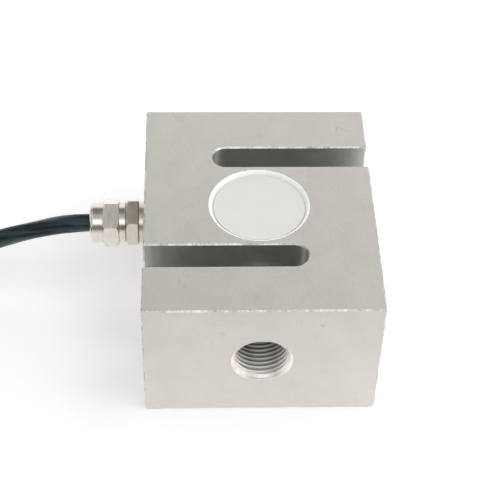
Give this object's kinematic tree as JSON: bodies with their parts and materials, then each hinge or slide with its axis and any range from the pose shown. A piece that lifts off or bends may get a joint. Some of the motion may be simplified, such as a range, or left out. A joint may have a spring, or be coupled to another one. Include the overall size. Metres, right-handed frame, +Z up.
{
  "type": "s type load cell",
  "caption": "S-shaped steel load cell with a tapped hole in each end, sealed round covers over its gauge wells, a side cable gland, and its lead wound in a tied coil.",
  "frame": {"origin": "middle of the sensing block's underside, the broad face that it lies on; the cable isn't counted", "axes": "+Y is the load axis, through both tapped holes; +Z is up, out of the labelled cover; the cable gland points along -X"},
  "size_m": [0.2109, 0.1078, 0.042],
  "materials": {
    "block_steel": "satin nickel plate over fine-milled alloy steel",
    "cover_steel": "matt rolled sheet",
    "sealant": "smooth white silicone",
    "label_film": "blank matt silver film",
    "gauge_film": "amber film with a metal grid",
    "board_laminate": "green laminate",
    "resistor_ceramic": "coated chip",
    "enamelled_wire": "enamelled copper",
    "core_red": "smooth extruded insulation",
    "core_black": "smooth extruded insulation",
    "core_green": "smooth extruded insulation",
    "core_white": "smooth extruded insulation",
    "gland_nickel": "nickel plate over turned brass",
    "gland_rubber": "smooth rubber",
    "gland_nylon": "natural nylon",
    "cable_jacket": "dark grey extruded jacket, slight sheen",
    "sleeve_black": "shrunk sleeve",
    "tinned_copper": "tinned stranded copper",
    "tie_nylon": "black nylon"
  },
  "bodies": {
    "root": {"sensing_block": "block_steel", "front_cover": "cover_steel", "rear_cover": "cover_steel", "front_seal_bead": "sealant", "rear_seal_bead": "sealant", "front_label": "label_film", "strain_gauge_1": "gauge_film", "strain_gauge_2": "gauge_film", "strain_gauge_3": "gauge_film", "strain_gauge_4": "gauge_film", "terminal_board": "board_laminate", "zero_resistor": "resistor_ceramic", "span_resistor": "resistor_ceramic", "bridge_wires": "enamelled_wire", "inner_core_red": "core_red", "inner_core_black": "core_black", "inner_core_green": "core_green", "inner_core_white": "core_white", "gland_body": "gland_nickel", "gland_clamp_nut": "gland_nickel", "gland_seal": "gland_rubber", "gland_o_ring": "gland_rubber", "gland_thrust_ring": "gland_nylon", "cable_entry": "cable_jacket", "cable": "cable_jacket", "cable_coil": "cable_jacket", "cable_tail": "cable_jacket", "tail_sleeve": "sleeve_black", "tail_core_red": "core_red", "tail_core_black": "core_black", "tail_core_green": "core_green", "tail_core_white": "core_white", "tail_drain_wire": "tinned_copper", "tail_tips": "tinned_copper", "coil_tie_1": "tie_nylon", "coil_tie_2": "tie_nylon"}
  },
  "joints": []
}
